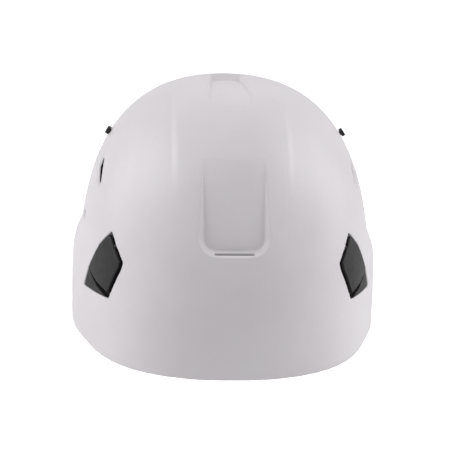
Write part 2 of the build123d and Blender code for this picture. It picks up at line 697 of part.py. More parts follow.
def brow_pad():
    size = (BAND_HALF_WIDTH - BAND_THICKNESS - 0.1, BAND_HALF_LENGTH - BAND_THICKNESS - 0.1)
    ring = elliptic_band(size, BROW_PAD_THICKNESS, (BAND_BOTTOM + 1, BAND_TOP - 1))
    return ring & span_box((-120, 120), (-120, BROW_PAD_END_Y), (0, 60))


def band_radius(bearing):
    a = math.radians(bearing)
    return 1 / math.hypot(math.sin(a) / BAND_HALF_WIDTH, math.cos(a) / BAND_HALF_LENGTH)


def headband_hanger(bearing):
    """A plastic arm that carries the headband from a key boss."""
    near = band_radius(bearing) - 1.0
    far = math.hypot(*dome_point(bearing, KEY_HEIGHT, inset=WALL + KEY_BOSS_DEPTH + 0.1)[:2])
    section = make_face(Polyline((near, 26), (near, 38), (far, 51), (far, 42), close=True))
    arm = extrude(radial_plane(bearing) * section, amount=6, both=True)
    return arm - extrude(Ellipse(BAND_HALF_WIDTH + 0.05, BAND_HALF_LENGTH + 0.05), amount=80)


# ---- Nape cradle ----
def tooth_profile(radius, tip, root, backlash):
    """Points up one flank of an involute tooth and down the other, centred on the x axis."""
    base = radius * math.cos(PRESSURE_ANGLE)
    half = (math.pi / 2 * MODULE - backlash) / (2 * radius)
    at_pitch = math.tan(PRESSURE_ANGLE) - PRESSURE_ANGLE
    flank = [(root, half + at_pitch)]
    for r in np.linspace(max(base, root), tip, 6):
        roll = math.acos(min(1.0, base / r))
        flank.append((r, half + at_pitch - (math.tan(roll) - roll)))
    right = [(r * math.cos(-t), r * math.sin(-t)) for r, t in flank]
    left = [(r * math.cos(t), r * math.sin(t)) for r, t in flank[::-1]]
    return right + left


def pinion(x_inner, x_outer):
    """A pinion about the wheel's axis with one tooth pointing up."""
    radius = MODULE * PINION_TEETH / 2
    tooth = tooth_profile(radius, radius + 0.8 * MODULE, radius - 1.15 * MODULE, 0.2)
    points = []
    for k in range(PINION_TEETH):
        turn = math.pi / 2 - 2 * math.pi * k / PINION_TEETH
        c, s = math.cos(turn), math.sin(turn)
        points += [(x * c - y * s, x * s + y * c) for x, y in tooth[::-1]]
    plane = Plane(origin=(-x_inner, PINION_Y, PINION_Z), x_dir=(0, -1, 0), z_dir=(-1, 0, 0))
    return extrude(plane * make_face(Polyline(*points, close=True)), amount=x_outer - x_inner)


def nape_rack():
    """The straight end of the nape band, with teeth along the upper edge of its window."""
    pitch_line = PINION_Z + MODULE * PINION_TEETH / 2
    tip = pitch_line - 0.8 * MODULE
    root = pitch_line + 1.1 * MODULE
    pitch = math.pi * MODULE
    lean = math.tan(PRESSURE_ANGLE)
    half = pitch / 4 - 0.1
    x = (-RACK_OUTER_X, -RACK_INNER_X)
    plate = span_box(x, (RACK_START_Y, NAPE_STRAIGHT_END), RACK_HEIGHTS)
    plate -= span_box((x[0] - 1, x[1] + 1), RACK_WINDOW, (PINION_Z - 6.4, root))
    plane = Plane(origin=(x[0], 0, 0), x_dir=(0, 1, 0), z_dir=(1, 0, 0))
    first = math.ceil((RACK_WINDOW[0] + 1 - PINION_Y) / pitch - 0.5)
    last = math.floor((RACK_WINDOW[1] - 1 - PINION_Y) / pitch - 0.5)
    teeth = []
    for k in range(first, last + 1):
        y = PINION_Y + (k + 0.5) * pitch
        top_half = half + (root - pitch_line) * lean
        tip_half = half - (pitch_line - tip) * lean
        top = root + 0.01
        corners = [(y - top_half, top), (y + top_half, top), (y + tip_half, tip), (y - tip_half, tip)]
        teeth.append(make_face(Polyline(*corners, close=True)))
    for tooth in teeth:
        plate += extrude(plane * tooth, amount=x[1] - x[0])
    return plate


def build_nape_band():
    thickness = RACK_OUTER_X - RACK_INNER_X
    size = (RACK_OUTER_X, NAPE_DEPTH + thickness)
    curve = elliptic_band(size, thickness, RACK_HEIGHTS, NAPE_STRAIGHT_END)
    curve &= span_box((-120, 120), (NAPE_STRAIGHT_END - 0.01, 160), (0, 60))
    rack = nape_rack()
    return curve + rack + left_of(rack)


def nape_pad():
    size = (RACK_INNER_X - 0.1, NAPE_DEPTH - 0.1)
    heights = (RACK_HEIGHTS[0] + 0.8, RACK_HEIGHTS[1] - 0.8)
    ring = elliptic_band(size, NAPE_PAD_THICKNESS, heights, NAPE_STRAIGHT_END)
    return ring & span_box((-120, 120), (NAPE_STRAIGHT_END + 12, 160), (0, 60))


def adjuster_housing():
    """The arm that turns at the temple and carries the adjuster wheel."""
    x = (-ARM_OUTER_X, ARM_THICKNESS - ARM_OUTER_X)
    arm = soften(span_box(x, ARM_ENDS, ARM_HEIGHTS), Axis.X, 6)
    arm -= rod((-84, PIVOT_Y, PIVOT_Z), (-78, PIVOT_Y, PIVOT_Z), PIVOT_RADIUS + RUNNING_GAP)
    arm -= rod((-84, PIVOT_Y, PIVOT_Z), (-81.2, PIVOT_Y, PIVOT_Z), 4.0 + RUNNING_GAP)
    return arm - rod((-84, PINION_Y, PINION_Z), (-78, PINION_Y, PINION_Z), 2.0 + RUNNING_GAP)


def adjuster_cover():
    """A channel over the rack, fixed to the arm along its upper and lower edges."""
    x = (-COVER_OUTER_X, -ARM_OUTER_X - 0.03)
    cover = soften(span_box(x, (31, ARM_ENDS[1]), ARM_HEIGHTS), Axis.X, 4)
    cover -= span_box((-RACK_OUTER_X - 0.2, -80), (20, 80), (RACK_HEIGHTS[0] - 0.2, RACK_HEIGHTS[1] + 0.2))
    return cover - rod((-90, PINION_Y, PINION_Z), (-80, PINION_Y, PINION_Z), 3.0 + RUNNING_GAP)


def adjuster_wheel():
    """A fluted thumb wheel with a pinion that drives the rack."""
    centre = (PINION_Y, PINION_Z)
    disc = rod((-92.4, *centre), (-COVER_OUTER_X - 0.25, *centre), WHEEL_RADIUS)
    disc = chamfer(disc.edges().group_by(Axis.X)[0], 1.0)
    for k in range(WHEEL_FLUTES):
        a = 2 * math.pi * k / WHEEL_FLUTES
        flute = (PINION_Y + WHEEL_RADIUS * 1.06 * math.cos(a), PINION_Z + WHEEL_RADIUS * 1.06 * math.sin(a))
        disc -= rod((-94, *flute), (-85, *flute), 1.7)
    disc -= rod((-94, *centre), (-91.2, *centre), 7.5)
    shaft = rod((-COVER_OUTER_X - 0.3, *centre), (-RACK_OUTER_X - 0.05, *centre), 3.0)
    stub = rod((-RACK_INNER_X - 0.1, *centre), (-80.2, *centre), 2.0)
    return disc + shaft + pinion(RACK_INNER_X + 0.08, RACK_OUTER_X + 0.1) + stub


# ---- Chin strap ----
def strap_anchor(side):
    """A wire staple in a rim boss that a side strap loops round."""
    y = STRAP_Y + side * ANCHOR_SPREAD
    bar = rod((-SWING_X, y - 9, SWING_Z), (-SWING_X, y + 9, SWING_Z), LOOP_BAR_RADIUS)
    for end in (y - 8.4, y + 8.4):
        bar += rod((-98.85, end, SWING_Z), (-SWING_X, end, SWING_Z), LOOP_BAR_RADIUS * 0.9)
    return bar


def side_strap(side):
    """A webbing strap from an anchor to the adjuster below the ear."""
    y0 = STRAP_Y + side * ANCHOR_SPREAD
    y1 = STRAP_Y + side * APEX_SPREAD
    half = SIDE_STRAP_WIDTH / 2
    x0 = -SWING_X + 1.8
    x1 = ADJUSTER_X[0] - 0.05
    corners = [(x0, y0 - half), (x1, y1 - half), (x1, y1 + half), (x0, y0 + half)]
    flat = make_face(Polyline(*corners, close=True))
    ribbon = extrude(Pos(0, 0, SWING_Z - WEBBING / 2) * flat, amount=WEBBING)
    ends = ((-SWING_X, y0 - half, SWING_Z), (-SWING_X, y0 + half, SWING_Z))
    return ribbon + rod(*ends, LOOP_OUTER_RADIUS) - rod(*ends, LOOP_INNER_RADIUS)


def side_adjuster():
    """The plastic ladder lock where the two side straps meet, with the bar the chin strap hangs from."""
    y = (STRAP_Y - ADJUSTER_WIDTH / 2, STRAP_Y + ADJUSTER_WIDTH / 2)
    body = soften(span_box(ADJUSTER_X, y, ADJUSTER_Z), Axis.Z, 4)
    body -= span_box((-33, -28), (y[0] + 5, y[1] - 5), (0, 10))
    body -= rod((CAM_HINGE[0], y[0] + 3.4, CAM_HINGE[1]), (CAM_HINGE[0], y[1] - 3.4, CAM_HINGE[1]), 2.1)
    for edge in (STRAP_Y - 12.4, STRAP_Y + 10.2):
        body += span_box((FOLD_X - 2.2, FOLD_X + 2.2), (edge, edge + 2.2), (8, FOLD_Z + 1.8))
    bar = ((FOLD_X, STRAP_Y - 11, FOLD_Z), (FOLD_X, STRAP_Y + 11, FOLD_Z))
    pin = ((CAM_HINGE[0], y[0] + 3, CAM_HINGE[1]), (CAM_HINGE[0], y[1] - 3, CAM_HINGE[1]))
    return body + rod(*bar, LOOP_BAR_RADIUS) + rod(*pin, 0.9)


def cam_lever():
    """The lever that clamps the side straps; it lies flat under the adjuster."""
    y = (STRAP_Y - 10.8, STRAP_Y + 10.8)
    plate = span_box((CAM_HINGE[0], -19), y, (1.2, 3.1))
    plate += span_box((-20.5, -17.5), (y[0] + 3, y[1] - 3), (1.2, 2.4))
    ends = ((CAM_HINGE[0], y[0], CAM_HINGE[1]), (CAM_HINGE[0], y[1], CAM_HINGE[1]))
    return plate + rod(*ends, 1.9) - rod(*ends, 0.96)


def chin_webbing():
    """The chin strap's webbing, folded outward over the side straps."""
    half = CHIN_WEBBING_WIDTH / 2
    y = (STRAP_Y - half, STRAP_Y + half)
    heights = (FOLD_Z - WEBBING / 2, FOLD_Z + WEBBING / 2)
    ribbon = span_box((BUCKLE_START_X + 0.05, FOLD_X - 1.8), y, heights)
    ends = ((FOLD_X, y[0], FOLD_Z), (FOLD_X, y[1], FOLD_Z))
    return ribbon + rod(*ends, LOOP_OUTER_RADIUS) - rod(*ends, LOOP_INNER_RADIUS)


def buckle_body(length_end):
    y = (STRAP_Y - BUCKLE_WIDTH / 2, STRAP_Y + BUCKLE_WIDTH / 2)
    return soften(span_box((length_end, BUCKLE_START_X), y, BUCKLE_Z), Axis.Z, 2.5)


def buckle_male():
    """The pronged half: a strap bar, two spring prongs and a middle guide."""
    body = buckle_body(-57.0)
    body -= span_box((-50.5, -48), (STRAP_Y - 9.5, STRAP_Y + 9.5), (0, 30))
    z = (BUCKLE_Z[0] + 0.9, BUCKLE_Z[1] - 0.9)
    for side in (-1, 1):
        prong = span_box((BUCKLE_END_X, -56.5), sorted((STRAP_Y + side * 8.2, STRAP_Y + side * 10.8)), z)
        hook = span_box((-70.5, -64), sorted((STRAP_Y + side * 10.7, STRAP_Y + side * 12.4)), z)
        body += prong + hook
    return body + span_box((BUCKLE_END_X + 1.5, -56.5), (STRAP_Y - 3, STRAP_Y + 3), z)


def buckle_female():
    """The socket half, with side windows that the prongs' hooks show through."""
    body = buckle_body(BUCKLE_END_X)
    body -= span_box((-49.5, -47), (STRAP_Y - 9.5, STRAP_Y + 9.5), (0, 30))
    mouth = (STRAP_Y - 11.2, STRAP_Y + 11.2)
    body -= span_box((BUCKLE_END_X - 1, -53), mouth, (BUCKLE_Z[0] + 0.8, BUCKLE_Z[1] - 0.8))
    for side in (-1, 1):
        window = sorted((STRAP_Y + side * 10, STRAP_Y + side * 14))
        body -= span_box((-63.5, -55.5), window, (BUCKLE_Z[0] + 0.8, BUCKLE_Z[1] - 0.8))
    return body


if __name__ == "__main__":
    os.makedirs("parts", exist_ok=True)
    write(build_shell(), "shell")
    inside = build_clips()
    write_pair(build_shutter(), "vent_shutter")
    write_pair(build_knob(), "shutter_knob")
    write_pair(build_guides(inside), "shutter_guides")
    for bearing, top, name in zip(KEY_BEARINGS, CROWN_STRAP_TOPS, ("a", "middle", "b")):
        write(crown_strap(bearing, top), f"crown_strap_{name}")
    write(both_sides([suspension_key(b) for b in KEY_BEARINGS]), "suspension_keys")
    write(crown_pad(), "crown_pad")
    write(build_headband(), "headband")
    write(both_sides([temple_pin()]), "temple_pins")
    write(brow_pad(), "brow_pad")
    write(both_sides([headband_hanger(b) for b in KEY_BEARINGS[:2]]), "headband_hangers")
    write(build_nape_band(), "nape_band")
    write(nape_pad(), "nape_pad")
    write_pair(adjuster_housing(), "adjuster_arm")
    write_pair(adjuster_cover(), "adjuster_cover")
    write_pair(adjuster_wheel(), "adjuster_wheel")
    write(both_sides([strap_anchor(-1), strap_anchor(1)]), "chin_strap_anchors")
    write_pair(side_strap(-1), "front_strap")
    write_pair(side_strap(1), "rear_strap")
    write_pair(side_adjuster(), "side_adjuster")
    write_pair(cam_lever(), "cam_lever")
    write_pair(chin_webbing(), "chin_strap")
    write(buckle_male(), "buckle_male")
    write(left_of(buckle_female()), "buckle_female")
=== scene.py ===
import math

import bmesh
import bpy
import numpy as np
from mathutils import Matrix, Vector


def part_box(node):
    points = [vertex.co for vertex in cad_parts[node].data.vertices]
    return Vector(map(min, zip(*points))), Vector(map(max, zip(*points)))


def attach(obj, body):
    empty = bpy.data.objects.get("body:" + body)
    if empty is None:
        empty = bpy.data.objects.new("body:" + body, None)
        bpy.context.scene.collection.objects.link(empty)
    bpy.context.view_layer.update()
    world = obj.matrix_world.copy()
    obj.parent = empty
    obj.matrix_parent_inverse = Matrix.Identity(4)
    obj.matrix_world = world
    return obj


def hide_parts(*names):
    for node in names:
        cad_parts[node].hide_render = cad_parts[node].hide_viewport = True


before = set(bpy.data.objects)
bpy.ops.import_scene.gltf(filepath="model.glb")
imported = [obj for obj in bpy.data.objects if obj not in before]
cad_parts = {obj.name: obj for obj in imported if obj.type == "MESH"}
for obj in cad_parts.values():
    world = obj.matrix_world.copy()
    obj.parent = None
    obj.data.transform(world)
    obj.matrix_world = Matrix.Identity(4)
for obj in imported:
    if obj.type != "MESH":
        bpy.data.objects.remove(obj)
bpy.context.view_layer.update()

MM = 0.001

# ---- Shell look, in metres ----
SKIN_VOXEL = 0.8 * MM
SPINE_HALF_WIDTH = 39 * MM
SPINE_HEIGHT = 1.0 * MM
BROW_FLARE = 2.0 * MM

SHELL_MIDDLE = (0, 0.003, 0.060)

# ---- Soft goods ----
PAD_PRESSURE = 4.0
PAD_FRAMES = 20
SEAM_WIDTH = 1.8 * MM
SEAM_DEPTH = 1.6 * MM
QUILT_RING = 30 * MM
BROW_WALL = (79.1 * MM, 98.1 * MM, 0.0)
NAPE_WALL = (82.3 * MM, 33.9 * MM, 78.0 * MM)

# ---- Webbing, as the CAD has it ----
WEBBING = 1.4 * MM
STITCH_LIFT = 0.7 * MM
CROWN_FLAT = 17 * MM
STRAP_Y = -17 * MM
ANCHOR_SPREAD = 21 * MM
APEX_SPREAD = 7.5 * MM
SWING_X = 95.5 * MM
SWING_Z = 5.5 * MM
ADJUSTER_EDGE = 42 * MM
FOLD_X = 19 * MM
FOLD_Z = 12 * MM

# ---- Studio ----
FLOOR_LEVEL = -0.150
FLOOR_GLOW = 0.60
SKY = 0.41
LIGHTS = {
    "front": (-3.7, 30, 1.8, (0.8, 0.8), 0.5),
    "side_right": (-80, 40, 1.6, (0.8, 0.8), 5.2),
    "side_left": (80, 40, 1.6, (0.8, 0.8), 5.2),
    "low_right": (-105, 15, 1.6, (0.8, 0.8), 4.5),
    "low_left": (105, 15, 1.6, (0.8, 0.8), 4.5),
    "rear_right": (-105, 40, 1.6, (0.8, 0.8), 3.5),
    "rear_left": (105, 40, 1.6, (0.8, 0.8), 3.5),
    "top_rear": (180, 62, 1.6, (1.0, 1.0), 1.2),
}

# ---- Camera ----
CAMERA_TARGET = Vector((0, 0, 0.060))
CAMERA_AZIMUTH = -3.7
CAMERA_ELEVATION = 20.0
CAMERA_ROLL = 1.6
CAMERA_DISTANCE = 1.10
CAMERA_LENS = 119.7
CAMERA_SHIFT = (0.0036, 0.0218)


# ---- Node material helpers ----
class Nodes:
    """A small builder for procedural materials."""

    def __init__(self, name):
        self.material = bpy.data.materials.new(name)
        self.material.use_nodes = True
        self.tree = self.material.node_tree
        self.shader = self.tree.nodes["Principled BSDF"]

    def add(self, kind, **inputs):
        node = self.tree.nodes.new(kind)
        for key, value in inputs.items():
            if hasattr(node, key):
                setattr(node, key, value)
                continue
            socket = node.inputs[key.replace("_", " ")]
            if isinstance(value, bpy.types.NodeSocket):
                self.tree.links.new(value, socket)
            else:
                socket.default_value = value
        return node

    def link(self, output, socket):
        self.tree.links.new(output, socket)

    def set(self, name, value):
        socket = self.shader.inputs[name]
        if isinstance(value, bpy.types.NodeSocket):
            self.link(value, socket)
        else:
            socket.default_value = value

    def position(self):
        return self.add("ShaderNodeTexCoord").outputs["Object"]

    def noise(self, scale, detail=4.0, roughness=0.55, vector=None):
        node = self.add("ShaderNodeTexNoise", Scale=scale, Detail=detail, Roughness=roughness)
        self.link(vector or self.position(), node.inputs["Vector"])
        return node.outputs["Fac"]

    def remap(self, value, low, high, out_low, out_high):
        node = self.tree.nodes.new("ShaderNodeMapRange")
        self.link(value, node.inputs["Value"])
        for key, number in (("From Min", low), ("From Max", high), ("To Min", out_low), ("To Max", out_high)):
            node.inputs[key].default_value = number
        return node.outputs["Result"]

    def mix(self, factor, first, second):
        node = self.tree.nodes.new("ShaderNodeMix")
        node.data_type = "RGBA"
        self.link(factor, node.inputs["Factor"])
        for index, value in ((6, first), (7, second)):
            if isinstance(value, bpy.types.NodeSocket):
                self.link(value, node.inputs[index])
            else:
                node.inputs[index].default_value = (*value, 1)
        return node.outputs[2]

    def math(self, operation, first, second=0.0, third=0.0):
        node = self.tree.nodes.new("ShaderNodeMath")
        node.operation = operation
        for index, value in enumerate((first, second, third)):
            if isinstance(value, bpy.types.NodeSocket):
                self.link(value, node.inputs[index])
            else:
                node.inputs[index].default_value = value
        return node.outputs[0]

    def bump(self, height, distance, strength=1.0, base=None):
        node = self.add("ShaderNodeBump", Strength=strength, Distance=distance)
        self.link(height, node.inputs["Height"])
        if base is not None:
            self.link(base, node.inputs["Normal"])
        return node.outputs["Normal"]

    def rounded(self, radius):
        return self.add("ShaderNodeBevel", samples=4, Radius=radius).outputs["Normal"]


def white_shell():
    """Moulded white plastic: faint orange peel, mottled gloss and fine scuffs, with painted shade on the
    inner face and in creases and a painted highlight along crests.
    """
    n = Nodes("shell_white")
    cloud = n.noise(14.0, 5.0)
    tint = n.mix(n.remap(cloud, 0.35, 0.65, 0.0, 1.0), (0.745, 0.708, 0.738), (0.785, 0.750, 0.780))
    dust = n.noise(420.0, 3.0, 0.7)
    face = n.mix(n.remap(dust, 0.68, 0.78, 0.0, 0.35), tint, (0.60, 0.585, 0.59))
    geometry = n.add("ShaderNodeNewGeometry")
    outward = n.add("ShaderNodeVectorMath", operation="SUBTRACT")
    n.link(n.position(), outward.inputs[0])
    outward.inputs[1].default_value = SHELL_MIDDLE
    facing = n.add("ShaderNodeVectorMath", operation="DOT_PRODUCT")
    n.link(geometry.outputs["True Normal"], facing.inputs[0])
    n.link(outward.outputs["Vector"], facing.inputs[1])
    # painted shade: the inner face of the shell is coloured near black to stand in for the shadow inside the
    # helmet
    inside = n.remap(facing.outputs["Value"], -0.012, -0.020, 0.0, 1.0)
    # painted shade: concave creases, found by low pointiness, are darkened
    crease_painted_shade = n.remap(geometry.outputs["Pointiness"], 0.47, 0.42, 0.0, 0.45)
    face = n.mix(crease_painted_shade, face, (0.47, 0.45, 0.47))
    # painted highlight: convex crests and edges, found by high pointiness, are lightened
    crest_painted_highlight = n.remap(geometry.outputs["Pointiness"], 0.54, 0.62, 0.0, 0.8)
    face = n.mix(crest_painted_highlight, face, (0.93, 0.91, 0.93))
    n.set("Base Color", n.mix(inside, face, (0.050, 0.050, 0.053)))
    gloss = n.noise(55.0, 6.0, 0.62)
    n.set("Roughness", n.remap(gloss, 0.3, 0.7, 0.36, 0.50))
    peel = n.noise(900.0, 2.0, 0.5)
    ripple = n.noise(70.0, 3.0, 0.5)
    wave = n.bump(ripple, 0.00008, 0.5, n.rounded(0.0007))
    n.set("Normal", n.bump(peel, 0.00003, 0.55, wave))
    n.set("Specular IOR Level", 0.42)
    n.set("Subsurface Weight", 0.06)
    n.set("Subsurface Radius", (0.004, 0.003, 0.003))
    n.set("Coat Weight", 0.08)
    n.set("Coat Roughness", 0.25)
    return n.material


def moulded(name, dark, light, roughness=(0.42, 0.6), edge_highlight_gain=1.9, sheen=0.4):
    """Grained moulded plastic with a painted highlight on its sharp edges."""
    n = Nodes(name)
    cloud = n.noise(60.0, 5.0)
    base = n.mix(n.remap(cloud, 0.3, 0.7, 0.0, 1.0), dark, light)
    pointiness = n.add("ShaderNodeNewGeometry").outputs["Pointiness"]
    # painted highlight: sharp convex edges, found by pointiness, are lightened
    edge_highlight = tuple(min(1.0, c * edge_highlight_gain + 0.015) for c in light)
    n.set("Base Color", n.mix(n.remap(pointiness, 0.53, 0.62, 0.0, 0.7), base, edge_highlight))
    n.set("Roughness", n.remap(n.noise(220.0, 5.0, 0.6), 0.3, 0.7, *roughness))
    n.set("Normal", n.bump(n.noise(1500.0, 2.0, 0.6), 0.00004, 0.6, n.rounded(0.0005)))
    n.set("Specular IOR Level", sheen)
    return n.material


def steel():
    """Bright drawn wire with fine lengthwise marks."""
    n = Nodes("bright_steel")
    stretch = n.add("ShaderNodeMapping", Scale=(1.0, 0.06, 1.0), Vector=n.position())
    marks = n.noise(2600.0, 3.0, 0.6, stretch.outputs["Vector"])
    n.set("Base Color", n.mix(n.remap(marks, 0.3, 0.7, 0.0, 1.0), (0.42, 0.42, 0.43), (0.62, 0.62, 0.63)))
    n.set("Metallic", 1.0)
    n.set("Roughness", n.remap(marks, 0.3, 0.7, 0.24, 0.42))
    n.set("Normal", n.bump(marks, 0.00002, 0.5, n.rounded(0.0003)))
    return n.material


def woven(name, dark, light, pitch=0.0011):
    """Twill webbing read from the strap's own UV: u along it and v across it, in metres."""
    n = Nodes(name)
    uv = n.add("ShaderNodeUVMap", uv_map="strap").outputs["UV"]
    split = n.add("ShaderNodeSeparateXYZ", Vector=uv)
    u, v = split.outputs["X"], split.outputs["Y"]
    across = n.math("MULTIPLY", v, 2 * math.pi / pitch)
    along = n.math("MULTIPLY", u, 2 * math.pi / (pitch * 1.15))
    rib = n.math("SINE", n.math("ADD", along, n.math("MULTIPLY", n.math("SINE", across), 1.2)))
    thread = n.math("MULTIPLY", n.math("ABSOLUTE", rib), n.math("ABSOLUTE", n.math("COSINE", across)))
    fuzz = n.noise(3200.0, 3.0, 0.7)
    height = n.math("ADD", thread, n.math("MULTIPLY", fuzz, 0.35))
    tone = n.math("ADD", n.math("MULTIPLY", thread, 0.8), n.math("MULTIPLY", n.noise(90.0), 0.5))
    n.set("Base Color", n.mix(n.remap(tone, 0.15, 1.1, 0.0, 1.0), dark, light))
    n.set("Roughness", n.remap(fuzz, 0.3, 0.7, 0.72, 0.92))
    n.set("Sheen Weight", 0.35)
    n.set("Sheen Roughness", 0.45)
    n.set("Normal", n.bump(height, 0.00022, 0.8))
    return n.material


def knitted(name, dark, light, scale=0.0016):
    """Mesh-knit fabric over foam: a hexagonal grid of dimples with a soft nap."""
    n = Nodes(name)
    cells = n.add("ShaderNodeTexVoronoi", Scale=1.0 / scale, Vector=n.position())
    distance = cells.outputs["Distance"]
    fuzz = n.noise(2600.0, 3.0, 0.7)
    tone = n.math("ADD", n.math("MULTIPLY", distance, 0.9), n.math("MULTIPLY", n.noise(45.0), 0.4))
    n.set("Base Color", n.mix(n.remap(tone, 0.15, 0.95, 0.0, 1.0), dark, light))
    n.set("Roughness", n.remap(fuzz, 0.3, 0.7, 0.8, 0.97))
    n.set("Sheen Weight", 0.45)
    n.set("Sheen Roughness", 0.5)
    height = n.math("ADD", distance, n.math("MULTIPLY", fuzz, 0.3))
    n.set("Normal", n.bump(height, 0.00035, 0.75))
    return n.material


def thread_material():
    n = Nodes("stitch_thread")
    twist = n.noise(4200.0, 2.0, 0.6)
    n.set("Base Color", n.mix(n.remap(twist, 0.3, 0.7, 0.0, 1.0), (0.16, 0.16, 0.17), (0.30, 0.30, 0.31)))
    n.set("Roughness", n.remap(twist, 0.3, 0.7, 0.6, 0.8))
    n.set("Normal", n.bump(twist, 0.00008, 0.6))
    return n.material


MATERIALS = {
    "shell": white_shell(),
    "clip": moulded("clip_grey", (0.017, 0.016, 0.017), (0.025, 0.024, 0.024), (0.42, 0.54), 3.2, 0.26),
    "clip_base": moulded(
        "clip_base_grey", (0.020, 0.019, 0.020), (0.030, 0.029, 0.030), (0.5, 0.66), 3.0, 0.26
    ),
    "black": moulded("knob_black", (0.010, 0.010, 0.011), (0.018, 0.018, 0.019), (0.38, 0.52)),
    "shutter": moulded("shutter_black", (0.014, 0.014, 0.015), (0.024, 0.024, 0.025), (0.45, 0.62)),
    "frame": moulded("frame_grey", (0.045, 0.046, 0.050), (0.065, 0.066, 0.070), (0.42, 0.58)),
    "buckle": moulded("buckle_black", (0.016, 0.016, 0.018), (0.028, 0.028, 0.030), (0.34, 0.48)),
    "steel": steel(),
    "webbing": woven("black_webbing", (0.008, 0.008, 0.010), (0.050, 0.050, 0.056)),
    "fabric": knitted("pad_knit", (0.012, 0.012, 0.014), (0.065, 0.065, 0.072)),
    "thread": thread_material(),
}

PAINT = {
    "clip_lever_": "clip",
    "clip_base_": "clip_base",
    "clip_hinge_pins": "steel",
    "shutter_knob_": "black",
    "vent_shutter_": "shutter",
    "shutter_guides_": "shutter",
    "suspension_keys": "frame",
    "headband": "frame",
    "headband_hangers": "frame",
    "temple_pins": "steel",
    "nape_band": "frame",
    "adjuster_arm_": "frame",
    "adjuster_cover_": "frame",
    "adjuster_wheel_": "black",
    "chin_strap_anchors": "steel",
    "side_adjuster_": "buckle",
    "cam_lever_": "buckle",
    "buckle_": "buckle",
    "shell": "shell",
}


def paint(obj, key):
    """Give a piece one material."""
    obj.data.materials.clear()
    obj.data.materials.append(MATERIALS[key])


def paint_frame():
    """Paint every CAD piece by the longest prefix of its name."""
    for name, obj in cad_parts.items():
        matches = [prefix for prefix in PAINT if name.startswith(prefix)]
        if matches:
            paint(obj, PAINT[max(matches, key=len)])


# ---- Mesh helpers ----
def new_object(name, vertices, faces, material, smooth=True):
    mesh = bpy.data.meshes.new(name)
    mesh.from_pydata([tuple(v) for v in vertices], [], faces)
    mesh.validate()
    obj = bpy.data.objects.new(name, mesh)
    bpy.context.scene.collection.objects.link(obj)
    paint(obj, material)
    if smooth:
        mesh.polygons.foreach_set("use_smooth", [True] * len(mesh.polygons))
    return obj


def copy_of(node, name):
    """A new object with a copy of a CAD node's mesh, its doubled corners joined."""
    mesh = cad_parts[node].data.copy()
    obj = bpy.data.objects.new(name, mesh)
    bpy.context.scene.collection.objects.link(obj)
    work = bmesh.new()
    work.from_mesh(mesh)
    bmesh.ops.remove_doubles(work, verts=work.verts, dist=1e-6)
    work.to_mesh(mesh)
    work.free()
    return obj


def apply_modifiers(obj):
    graph = bpy.context.evaluated_depsgraph_get()
    mesh = bpy.data.meshes.new_from_object(obj.evaluated_get(graph))
    old = obj.data
    obj.modifiers.clear()
    obj.data = mesh
    bpy.data.meshes.remove(old)


def coordinates(mesh):
    co = np.zeros(len(mesh.vertices) * 3, np.float32)
    mesh.vertices.foreach_get("co", co)
    return co.reshape(-1, 3).astype(float)


def set_coordinates(mesh, co):
    mesh.vertices.foreach_set("co", co.astype(np.float32).ravel())
    mesh.update()


def vertex_normals(mesh):
    normals = np.zeros(len(mesh.vertices) * 3, np.float32)
    mesh.vertices.foreach_get("normal", normals)
    return normals.reshape(-1, 3).astype(float)


def smooth_step(value):
    t = np.clip(value, 0, 1)
    return t * t * (3 - 2 * t)


# ---- Shell ----
def shell_skin():
    """The shell with softened moulded edges, the raised band over the crown and the flared brow."""
    original = copy_of("shell", "shell_form")
    obj = copy_of("shell", "shell_skin")
    remesh = obj.modifiers.new("remesh", "REMESH")
    remesh.mode = "VOXEL"
    remesh.voxel_size = SKIN_VOXEL
    wrap_back = obj.modifiers.new("wrap", "SHRINKWRAP")
    wrap_back.target = original
    relax = obj.modifiers.new("relax", "SMOOTH")
    relax.factor = 0.35
    relax.iterations = 1
    apply_modifiers(obj)
    bpy.data.objects.remove(original)
    co = coordinates(obj.data)
    x, y, z = co[:, 0], co[:, 1], co[:, 2]
    radial = co - np.array([0, 0.003, 0.040])
    radial /= np.linalg.norm(radial, axis=1, keepdims=True)
    band = smooth_step((SPINE_HALF_WIDTH + 0.0025 - np.abs(x)) / 0.005)
    fade = smooth_step((z - 0.118) / 0.030)
    rear = smooth_step((0.004 - y) / 0.035)
    rise = SPINE_HEIGHT * band * fade * rear
    ahead = smooth_step((-y - 0.060) / 0.060)
    flare = BROW_FLARE * ahead * np.exp(-np.clip(z - 0.009, 0, None) / 0.009)
    flat = radial.copy()
    flat[:, 2] = 0
    flat /= np.linalg.norm(flat, axis=1, keepdims=True)
    co = co + radial * rise[:, None] + flat * flare[:, None]
    set_coordinates(obj.data, co)
    obj.data.polygons.foreach_set("use_smooth", [True] * len(obj.data.polygons))
    paint(obj, "shell")
    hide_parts("shell")
    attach(obj, "helmet")
    return obj


# ---- Moulded pieces ----
def moulded_skin(node, body, material, voxel, rounds):
    """A CAD piece with its edges rounded as they leave the mould."""
    obj = copy_of(node, f"{node}_moulded")
    remesh = obj.modifiers.new("remesh", "REMESH")
    remesh.mode = "VOXEL"
    remesh.voxel_size = voxel
    relax = obj.modifiers.new("relax", "SMOOTH")
    relax.factor = 0.5
    relax.iterations = rounds
    apply_modifiers(obj)
    obj.data.polygons.foreach_set("use_smooth", [True] * len(obj.data.polygons))
    paint(obj, material)
    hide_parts(node)
    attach(obj, body)


